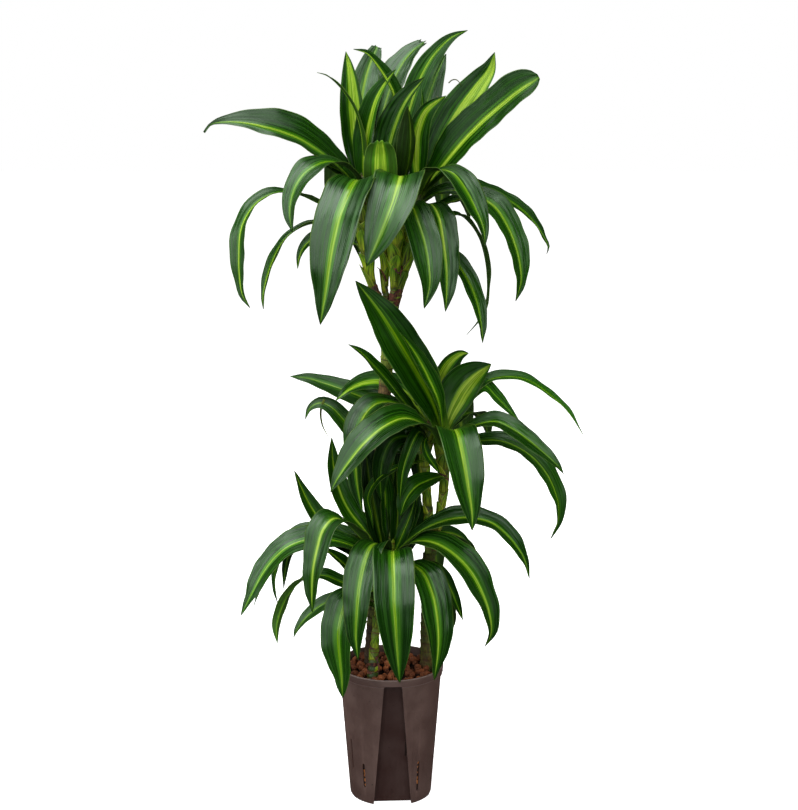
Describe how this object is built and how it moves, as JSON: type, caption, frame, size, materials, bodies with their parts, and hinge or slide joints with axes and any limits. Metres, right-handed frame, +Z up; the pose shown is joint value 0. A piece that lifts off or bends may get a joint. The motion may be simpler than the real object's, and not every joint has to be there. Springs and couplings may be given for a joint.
{
  "type": "potted corn plant",
  "caption": "Striped dracaena with three tiers of arching strap leaves on two bare canes and a green stem, in a tapered brown hydroculture pot of clay granules.",
  "frame": {"origin": "centre of the pot's underside, on the surface that it stands on", "axes": "+Z up along the canes, -Y towards the side that the picture shows, +X to the right of that view"},
  "size_m": [0.5123, 0.3704, 1.065],
  "materials": {
    "pot_plastic": "matte brown moulded plastic",
    "clay": "rough fired clay",
    "cane_bark": "ringed woody cane",
    "leaf": "semi-gloss leaf, dark green with a lime centre stripe"
  },
  "bodies": {
    "root": {"pot": "pot_plastic", "clay_granules": "clay", "cane_tall": "cane_bark", "cane_middle": "cane_bark", "head_upper": "leaf", "head_middle": "leaf", "head_lower": "leaf"}
  },
  "joints": []
}
